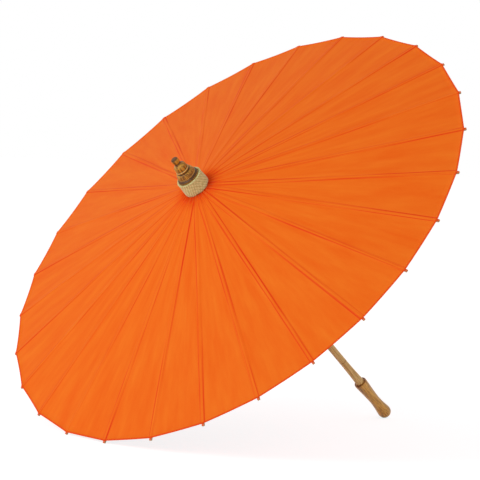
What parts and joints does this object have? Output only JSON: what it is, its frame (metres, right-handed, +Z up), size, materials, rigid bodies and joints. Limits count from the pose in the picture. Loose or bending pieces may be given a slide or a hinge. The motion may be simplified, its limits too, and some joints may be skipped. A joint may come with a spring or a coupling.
{
  "type": "oil paper umbrella",
  "caption": "Open oil paper umbrella lying on its rim: pleated orange paper on split bamboo ribs that fold with a sliding runner, turned wooden head and handle.",
  "frame": {"origin": "on the floor under the middle of the umbrella's box, as it lies open on two rib tips and the round end of its handle", "axes": "+Z up from the floor, -Y the level direction that the finial points to, +Y towards the handle, X across the canopy, the umbrella alike on both sides"},
  "size_m": [0.8352, 0.6466, 0.6393],
  "materials": {
    "varnished_bamboo": "varnished, shaft and turned handle",
    "turned_wood": "turned, waxed, with burnt grooves",
    "split_bamboo": "split and planed, outer face stained orange",
    "oiled_paper": "mulberry paper, dyed orange and oiled"
  },
  "bodies": {
    "root": {"shaft_and_handle": "varnished_bamboo", "head": "turned_wood", "canopy": "oiled_paper"},
    "runner": {"runner": "turned_wood"},
    "rib_01": {"rib_01": "split_bamboo"},
    "stretcher_01": {"stretcher_01": "split_bamboo"},
    "rib_02": {"rib_02": "split_bamboo"},
    "stretcher_02": {"stretcher_02": "split_bamboo"},
    "rib_03": {"rib_03": "split_bamboo"},
    "stretcher_03": {"stretcher_03": "split_bamboo"},
    "rib_04": {"rib_04": "split_bamboo"},
    "stretcher_04": {"stretcher_04": "split_bamboo"},
    "rib_05": {"rib_05": "split_bamboo"},
    "stretcher_05": {"stretcher_05": "split_bamboo"},
    "rib_06": {"rib_06": "split_bamboo"},
    "stretcher_06": {"stretcher_06": "split_bamboo"},
    "rib_07": {"rib_07": "split_bamboo"},
    "stretcher_07": {"stretcher_07": "split_bamboo"},
    "rib_08": {"rib_08": "split_bamboo"},
    "stretcher_08": {"stretcher_08": "split_bamboo"},
    "rib_09": {"rib_09": "split_bamboo"},
    "stretcher_09": {"stretcher_09": "split_bamboo"},
    "rib_10": {"rib_10": "split_bamboo"},
    "stretcher_10": {"stretcher_10": "split_bamboo"},
    "rib_11": {"rib_11": "split_bamboo"},
    "stretcher_11": {"stretcher_11": "split_bamboo"},
    "rib_12": {"rib_12": "split_bamboo"},
    "stretcher_12": {"stretcher_12": "split_bamboo"},
    "rib_13": {"rib_13": "split_bamboo"},
    "stretcher_13": {"stretcher_13": "split_bamboo"},
    "rib_14": {"rib_14": "split_bamboo"},
    "stretcher_14": {"stretcher_14": "split_bamboo"},
    "rib_15": {"rib_15": "split_bamboo"},
    "stretcher_15": {"stretcher_15": "split_bamboo"},
    "rib_16": {"rib_16": "split_bamboo"},
    "stretcher_16": {"stretcher_16": "split_bamboo"},
    "rib_17": {"rib_17": "split_bamboo"},
    "stretcher_17": {"stretcher_17": "split_bamboo"},
    "rib_18": {"rib_18": "split_bamboo"},
    "stretcher_18": {"stretcher_18": "split_bamboo"},
    "rib_19": {"rib_19": "split_bamboo"},
    "stretcher_19": {"stretcher_19": "split_bamboo"},
    "rib_20": {"rib_20": "split_bamboo"},
    "stretcher_20": {"stretcher_20": "split_bamboo"},
    "rib_21": {"rib_21": "split_bamboo"},
    "stretcher_21": {"stretcher_21": "split_bamboo"},
    "rib_22": {"rib_22": "split_bamboo"},
    "stretcher_22": {"stretcher_22": "split_bamboo"},
    "rib_23": {"rib_23": "split_bamboo"},
    "stretcher_23": {"stretcher_23": "split_bamboo"},
    "rib_24": {"rib_24": "split_bamboo"},
    "stretcher_24": {"stretcher_24": "split_bamboo"},
    "rib_25": {"rib_25": "split_bamboo"},
    "stretcher_25": {"stretcher_25": "split_bamboo"},
    "rib_26": {"rib_26": "split_bamboo"},
    "stretcher_26": {"stretcher_26": "split_bamboo"},
    "rib_27": {"rib_27": "split_bamboo"},
    "stretcher_27": {"stretcher_27": "split_bamboo"},
    "rib_28": {"rib_28": "split_bamboo"},
    "stretcher_28": {"stretcher_28": "split_bamboo"}
  },
  "joints": [
    {"name": "runner_slide", "type": "slide", "parent": "root", "child": "runner", "axis": [0, 0.7639, -0.6454], "range_m": [0, 0.2454], "deforming": ["canopy"]},
    {"name": "rib_01_hinge", "type": "hinge", "parent": "root", "child": "rib_01", "pos_m": [-0.00174, -0.13563, 0.3693], "axis": [0.9937, -0.0723, -0.0855], "range_deg": [0, 73.6]},
    {"name": "stretcher_01_pivot", "type": "hinge", "parent": "rib_01", "child": "stretcher_01", "pos_m": [-0.01916, -0.20712, 0.22723], "axis": [0.9937, -0.0723, -0.0855], "range_deg": [-147.2, 0]},
    {"name": "rib_02_hinge", "type": "hinge", "parent": "root", "child": "rib_02", "pos_m": [0.00174, -0.13563, 0.3693], "axis": [0.9937, 0.0723, 0.0855], "range_deg": [0, 73.6]},
    {"name": "stretcher_02_pivot", "type": "hinge", "parent": "rib_02", "child": "stretcher_02", "pos_m": [0.01916, -0.20712, 0.22723], "axis": [0.9937, 0.0723, 0.0855], "range_deg": [-147.2, 0]},
    {"name": "rib_03_hinge", "type": "hinge", "parent": "root", "child": "rib_03", "pos_m": [0.00512, -0.13514, 0.36989], "axis": [0.9439, 0.2131, 0.2523], "range_deg": [0, 73.6]},
    {"name": "stretcher_03_pivot", "type": "hinge", "parent": "rib_03", "child": "stretcher_03", "pos_m": [0.05653, -0.20162, 0.23374], "axis": [0.9439, 0.2131, 0.2523], "range_deg": [-147.2, 0]},
    {"name": "rib_04_hinge", "type": "hinge", "parent": "root", "child": "rib_04", "pos_m": [0.00825, -0.13416, 0.37105], "axis": [0.8467, 0.3433, 0.4064], "range_deg": [0, 73.6]},
    {"name": "stretcher_04_pivot", "type": "hinge", "parent": "rib_04", "child": "stretcher_04", "pos_m": [0.09105, -0.19089, 0.24645], "axis": [0.8467, 0.3433, 0.4064], "range_deg": [-147.2, 0]},
    {"name": "rib_05_hinge", "type": "hinge", "parent": "root", "child": "rib_05", "pos_m": [0.01096, -0.13277, 0.3727], "axis": [0.7071, 0.4563, 0.5401], "range_deg": [0, 73.6]},
    {"name": "stretcher_05_pivot", "type": "hinge", "parent": "rib_05", "child": "stretcher_05", "pos_m": [0.12102, -0.17547, 0.2647], "axis": [0.7071, 0.4563, 0.5401], "range_deg": [-147.2, 0]},
    {"name": "rib_06_hinge", "type": "hinge", "parent": "root", "child": "rib_06", "pos_m": [0.01312, -0.13102, 0.37477], "axis": [0.532, 0.5464, 0.6468], "range_deg": [0, 73.6]},
    {"name": "stretcher_06_pivot", "type": "hinge", "parent": "rib_06", "child": "stretcher_06", "pos_m": [0.14491, -0.15613, 0.28759], "axis": [0.532, 0.5464, 0.6468], "range_deg": [-147.2, 0]},
    {"name": "rib_07_hinge", "type": "hinge", "parent": "root", "child": "rib_07", "pos_m": [0.01463, -0.129, 0.37716], "axis": [0.3303, 0.6091, 0.721], "range_deg": [0, 73.6]},
    {"name": "stretcher_07_pivot", "type": "hinge", "parent": "rib_07", "child": "stretcher_07", "pos_m": [0.16154, -0.13385, 0.31396], "axis": [0.3303, 0.6091, 0.721], "range_deg": [-147.2, 0]},
    {"name": "rib_08_hinge", "type": "hinge", "parent": "root", "child": "rib_08", "pos_m": [0.0154, -0.12681, 0.37974], "axis": [0.112, 0.6413, 0.7591], "range_deg": [0, 73.6]},
    {"name": "stretcher_08_pivot", "type": "hinge", "parent": "rib_08", "child": "stretcher_08", "pos_m": [0.17007, -0.10974, 0.3425], "axis": [0.112, 0.6413, 0.7591], "range_deg": [-147.2, 0]},
    {"name": "rib_09_hinge", "type": "hinge", "parent": "root", "child": "rib_09", "pos_m": [0.0154, -0.12457, 0.3824], "axis": [-0.112, 0.6413, 0.7591], "range_deg": [0, 73.6]},
    {"name": "stretcher_09_pivot", "type": "hinge", "parent": "rib_09", "child": "stretcher_09", "pos_m": [0.17007, -0.085, 0.37178], "axis": [-0.112, 0.6413, 0.7591], "range_deg": [-147.2, 0]},
    {"name": "rib_10_hinge", "type": "hinge", "parent": "root", "child": "rib_10", "pos_m": [0.01463, -0.12239, 0.38498], "axis": [-0.3303, 0.6091, 0.721], "range_deg": [0, 73.6]},
    {"name": "stretcher_10_pivot", "type": "hinge", "parent": "rib_10", "child": "stretcher_10", "pos_m": [0.16154, -0.06089, 0.40032], "axis": [-0.3303, 0.6091, 0.721], "range_deg": [-147.2, 0]},
    {"name": "rib_11_hinge", "type": "hinge", "parent": "root", "child": "rib_11", "pos_m": [0.01312, -0.12037, 0.38737], "axis": [-0.532, 0.5464, 0.6468], "range_deg": [0, 73.6]},
    {"name": "stretcher_11_pivot", "type": "hinge", "parent": "rib_11", "child": "stretcher_11", "pos_m": [0.14491, -0.03861, 0.4267], "axis": [-0.532, 0.5464, 0.6468], "range_deg": [-147.2, 0]},
    {"name": "rib_12_hinge", "type": "hinge", "parent": "root", "child": "rib_12", "pos_m": [0.01096, -0.11862, 0.38944], "axis": [-0.7071, 0.4563, 0.5401], "range_deg": [0, 73.6]},
    {"name": "stretcher_12_pivot", "type": "hinge", "parent": "rib_12", "child": "stretcher_12", "pos_m": [0.12102, -0.01927, 0.44958], "axis": [-0.7071, 0.4563, 0.5401], "range_deg": [-147.2, 0]},
    {"name": "rib_13_hinge", "type": "hinge", "parent": "root", "child": "rib_13", "pos_m": [0.00825, -0.11722, 0.3911], "axis": [-0.8467, 0.3433, 0.4064], "range_deg": [0, 73.6]},
    {"name": "stretcher_13_pivot", "type": "hinge", "parent": "rib_13", "child": "stretcher_13", "pos_m": [0.09105, -0.00385, 0.46784], "axis": [-0.8467, 0.3433, 0.4064], "range_deg": [-147.2, 0]},
    {"name": "rib_14_hinge", "type": "hinge", "parent": "root", "child": "rib_14", "pos_m": [0.00512, -0.11625, 0.39225], "axis": [-0.9439, 0.2131, 0.2523], "range_deg": [0, 73.6]},
    {"name": "stretcher_14_pivot", "type": "hinge", "parent": "rib_14", "child": "stretcher_14", "pos_m": [0.05653, 0.00688, 0.48054], "axis": [-0.9439, 0.2131, 0.2523], "range_deg": [-147.2, 0]},
    {"name": "rib_15_hinge", "type": "hinge", "parent": "root", "child": "rib_15", "pos_m": [0.00174, -0.11575, 0.39284], "axis": [-0.9937, 0.0723, 0.0855], "range_deg": [0, 73.6]},
    {"name": "stretcher_15_pivot", "type": "hinge", "parent": "rib_15", "child": "stretcher_15", "pos_m": [0.01916, 0.01238, 0.48705], "axis": [-0.9937, 0.0723, 0.0855], "range_deg": [-147.2, 0]},
    {"name": "rib_16_hinge", "type": "hinge", "parent": "root", "child": "rib_16", "pos_m": [-0.00174, -0.11575, 0.39284], "axis": [-0.9937, -0.0723, -0.0855], "range_deg": [0, 73.6]},
    {"name": "stretcher_16_pivot", "type": "hinge", "parent": "rib_16", "child": "stretcher_16", "pos_m": [-0.01916, 0.01238, 0.48705], "axis": [-0.9937, -0.0723, -0.0855], "range_deg": [-147.2, 0]},
    {"name": "rib_17_hinge", "type": "hinge", "parent": "root", "child": "rib_17", "pos_m": [-0.00512, -0.11625, 0.39225], "axis": [-0.9439, -0.2131, -0.2523], "range_deg": [0, 73.6]},
    {"name": "stretcher_17_pivot", "type": "hinge", "parent": "rib_17", "child": "stretcher_17", "pos_m": [-0.05653, 0.00688, 0.48054], "axis": [-0.9439, -0.2131, -0.2523], "range_deg": [-147.2, 0]},
    {"name": "rib_18_hinge", "type": "hinge", "parent": "root", "child": "rib_18", "pos_m": [-0.00825, -0.11722, 0.3911], "axis": [-0.8467, -0.3433, -0.4064], "range_deg": [0, 73.6]},
    {"name": "stretcher_18_pivot", "type": "hinge", "parent": "rib_18", "child": "stretcher_18", "pos_m": [-0.09105, -0.00385, 0.46784], "axis": [-0.8467, -0.3433, -0.4064], "range_deg": [-147.2, 0]},
    {"name": "rib_19_hinge", "type": "hinge", "parent": "root", "child": "rib_19", "pos_m": [-0.01096, -0.11862, 0.38944], "axis": [-0.7071, -0.4563, -0.5401], "range_deg": [0, 73.6]},
    {"name": "stretcher_19_pivot", "type": "hinge", "parent": "rib_19", "child": "stretcher_19", "pos_m": [-0.12102, -0.01927, 0.44958], "axis": [-0.7071, -0.4563, -0.5401], "range_deg": [-147.2, 0]},
    {"name": "rib_20_hinge", "type": "hinge", "parent": "root", "child": "rib_20", "pos_m": [-0.01312, -0.12037, 0.38737], "axis": [-0.532, -0.5464, -0.6468], "range_deg": [0, 73.6]},
    {"name": "stretcher_20_pivot", "type": "hinge", "parent": "rib_20", "child": "stretcher_20", "pos_m": [-0.14491, -0.03861, 0.4267], "axis": [-0.532, -0.5464, -0.6468], "range_deg": [-147.2, 0]},
    {"name": "rib_21_hinge", "type": "hinge", "parent": "root", "child": "rib_21", "pos_m": [-0.01463, -0.12239, 0.38498], "axis": [-0.3303, -0.6091, -0.721], "range_deg": [0, 73.6]},
    {"name": "stretcher_21_pivot", "type": "hinge", "parent": "rib_21", "child": "stretcher_21", "pos_m": [-0.16154, -0.06089, 0.40032], "axis": [-0.3303, -0.6091, -0.721], "range_deg": [-147.2, 0]},
    {"name": "rib_22_hinge", "type": "hinge", "parent": "root", "child": "rib_22", "pos_m": [-0.0154, -0.12457, 0.3824], "axis": [-0.112, -0.6413, -0.7591], "range_deg": [0, 73.6]},
    {"name": "stretcher_22_pivot", "type": "hinge", "parent": "rib_22", "child": "stretcher_22", "pos_m": [-0.17007, -0.085, 0.37178], "axis": [-0.112, -0.6413, -0.7591], "range_deg": [-147.2, 0]},
    {"name": "rib_23_hinge", "type": "hinge", "parent": "root", "child": "rib_23", "pos_m": [-0.0154, -0.12681, 0.37974], "axis": [0.112, -0.6413, -0.7591], "range_deg": [0, 73.6]},
    {"name": "stretcher_23_pivot", "type": "hinge", "parent": "rib_23", "child": "stretcher_23", "pos_m": [-0.17007, -0.10974, 0.3425], "axis": [0.112, -0.6413, -0.7591], "range_deg": [-147.2, 0]},
    {"name": "rib_24_hinge", "type": "hinge", "parent": "root", "child": "rib_24", "pos_m": [-0.01463, -0.129, 0.37716], "axis": [0.3303, -0.6091, -0.721], "range_deg": [0, 73.6]},
    {"name": "stretcher_24_pivot", "type": "hinge", "parent": "rib_24", "child": "stretcher_24", "pos_m": [-0.16154, -0.13385, 0.31396], "axis": [0.3303, -0.6091, -0.721], "range_deg": [-147.2, 0]},
    {"name": "rib_25_hinge", "type": "hinge", "parent": "root", "child": "rib_25", "pos_m": [-0.01312, -0.13102, 0.37477], "axis": [0.532, -0.5464, -0.6468], "range_deg": [0, 73.6]},
    {"name": "stretcher_25_pivot", "type": "hinge", "parent": "rib_25", "child": "stretcher_25", "pos_m": [-0.14491, -0.15613, 0.28759], "axis": [0.532, -0.5464, -0.6468], "range_deg": [-147.2, 0]},
    {"name": "rib_26_hinge", "type": "hinge", "parent": "root", "child": "rib_26", "pos_m": [-0.01096, -0.13277, 0.3727], "axis": [0.7071, -0.4563, -0.5401], "range_deg": [0, 73.6]},
    {"name": "stretcher_26_pivot", "type": "hinge", "parent": "rib_26", "child": "stretcher_26", "pos_m": [-0.12102, -0.17547, 0.2647], "axis": [0.7071, -0.4563, -0.5401], "range_deg": [-147.2, 0]},
    {"name": "rib_27_hinge", "type": "hinge", "parent": "root", "child": "rib_27", "pos_m": [-0.00825, -0.13416, 0.37105], "axis": [0.8467, -0.3433, -0.4064], "range_deg": [0, 73.6]},
    {"name": "stretcher_27_pivot", "type": "hinge", "parent": "rib_27", "child": "stretcher_27", "pos_m": [-0.09105, -0.19089, 0.24645], "axis": [0.8467, -0.3433, -0.4064], "range_deg": [-147.2, 0]},
    {"name": "rib_28_hinge", "type": "hinge", "parent": "root", "child": "rib_28", "pos_m": [-0.00512, -0.13514, 0.36989], "axis": [0.9439, -0.2131, -0.2523], "range_deg": [0, 73.6]},
    {"name": "stretcher_28_pivot", "type": "hinge", "parent": "rib_28", "child": "stretcher_28", "pos_m": [-0.05653, -0.20162, 0.23374], "axis": [0.9439, -0.2131, -0.2523], "range_deg": [-147.2, 0]}
  ],
  "couplings": [
    {"joint": "rib_01_hinge", "follows": "runner_slide", "rad_per_m": 5.2345},
    {"joint": "stretcher_01_pivot", "follows": "runner_slide", "rad_per_m": -10.469},
    {"joint": "rib_02_hinge", "follows": "runner_slide", "rad_per_m": 5.2345},
    {"joint": "stretcher_02_pivot", "follows": "runner_slide", "rad_per_m": -10.469},
    {"joint": "rib_03_hinge", "follows": "runner_slide", "rad_per_m": 5.2345},
    {"joint": "stretcher_03_pivot", "follows": "runner_slide", "rad_per_m": -10.469},
    {"joint": "rib_04_hinge", "follows": "runner_slide", "rad_per_m": 5.2345},
    {"joint": "stretcher_04_pivot", "follows": "runner_slide", "rad_per_m": -10.469},
    {"joint": "rib_05_hinge", "follows": "runner_slide", "rad_per_m": 5.2345},
    {"joint": "stretcher_05_pivot", "follows": "runner_slide", "rad_per_m": -10.469},
    {"joint": "rib_06_hinge", "follows": "runner_slide", "rad_per_m": 5.2345},
    {"joint": "stretcher_06_pivot", "follows": "runner_slide", "rad_per_m": -10.469},
    {"joint": "rib_07_hinge", "follows": "runner_slide", "rad_per_m": 5.2345},
    {"joint": "stretcher_07_pivot", "follows": "runner_slide", "rad_per_m": -10.469},
    {"joint": "rib_08_hinge", "follows": "runner_slide", "rad_per_m": 5.2345},
    {"joint": "stretcher_08_pivot", "follows": "runner_slide", "rad_per_m": -10.469},
    {"joint": "rib_09_hinge", "follows": "runner_slide", "rad_per_m": 5.2345},
    {"joint": "stretcher_09_pivot", "follows": "runner_slide", "rad_per_m": -10.469},
    {"joint": "rib_10_hinge", "follows": "runner_slide", "rad_per_m": 5.2345},
    {"joint": "stretcher_10_pivot", "follows": "runner_slide", "rad_per_m": -10.469},
    {"joint": "rib_11_hinge", "follows": "runner_slide", "rad_per_m": 5.2345},
    {"joint": "stretcher_11_pivot", "follows": "runner_slide", "rad_per_m": -10.469},
    {"joint": "rib_12_hinge", "follows": "runner_slide", "rad_per_m": 5.2345},
    {"joint": "stretcher_12_pivot", "follows": "runner_slide", "rad_per_m": -10.469},
    {"joint": "rib_13_hinge", "follows": "runner_slide", "rad_per_m": 5.2345},
    {"joint": "stretcher_13_pivot", "follows": "runner_slide", "rad_per_m": -10.469},
    {"joint": "rib_14_hinge", "follows": "runner_slide", "rad_per_m": 5.2345},
    {"joint": "stretcher_14_pivot", "follows": "runner_slide", "rad_per_m": -10.469},
    {"joint": "rib_15_hinge", "follows": "runner_slide", "rad_per_m": 5.2345},
    {"joint": "stretcher_15_pivot", "follows": "runner_slide", "rad_per_m": -10.469},
    {"joint": "rib_16_hinge", "follows": "runner_slide", "rad_per_m": 5.2345},
    {"joint": "stretcher_16_pivot", "follows": "runner_slide", "rad_per_m": -10.469},
    {"joint": "rib_17_hinge", "follows": "runner_slide", "rad_per_m": 5.2345},
    {"joint": "stretcher_17_pivot", "follows": "runner_slide", "rad_per_m": -10.469},
    {"joint": "rib_18_hinge", "follows": "runner_slide", "rad_per_m": 5.2345},
    {"joint": "stretcher_18_pivot", "follows": "runner_slide", "rad_per_m": -10.469},
    {"joint": "rib_19_hinge", "follows": "runner_slide", "rad_per_m": 5.2345},
    {"joint": "stretcher_19_pivot", "follows": "runner_slide", "rad_per_m": -10.469},
    {"joint": "rib_20_hinge", "follows": "runner_slide", "rad_per_m": 5.2345},
    {"joint": "stretcher_20_pivot", "follows": "runner_slide", "rad_per_m": -10.469},
    {"joint": "rib_21_hinge", "follows": "runner_slide", "rad_per_m": 5.2345},
    {"joint": "stretcher_21_pivot", "follows": "runner_slide", "rad_per_m": -10.469},
    {"joint": "rib_22_hinge", "follows": "runner_slide", "rad_per_m": 5.2345},
    {"joint": "stretcher_22_pivot", "follows": "runner_slide", "rad_per_m": -10.469},
    {"joint": "rib_23_hinge", "follows": "runner_slide", "rad_per_m": 5.2345},
    {"joint": "stretcher_23_pivot", "follows": "runner_slide", "rad_per_m": -10.469},
    {"joint": "rib_24_hinge", "follows": "runner_slide", "rad_per_m": 5.2345},
    {"joint": "stretcher_24_pivot", "follows": "runner_slide", "rad_per_m": -10.469},
    {"joint": "rib_25_hinge", "follows": "runner_slide", "rad_per_m": 5.2345},
    {"joint": "stretcher_25_pivot", "follows": "runner_slide", "rad_per_m": -10.469},
    {"joint": "rib_26_hinge", "follows": "runner_slide", "rad_per_m": 5.2345},
    {"joint": "stretcher_26_pivot", "follows": "runner_slide", "rad_per_m": -10.469},
    {"joint": "rib_27_hinge", "follows": "runner_slide", "rad_per_m": 5.2345},
    {"joint": "stretcher_27_pivot", "follows": "runner_slide", "rad_per_m": -10.469},
    {"joint": "rib_28_hinge", "follows": "runner_slide", "rad_per_m": 5.2345},
    {"joint": "stretcher_28_pivot", "follows": "runner_slide", "rad_per_m": -10.469}
  ]
}
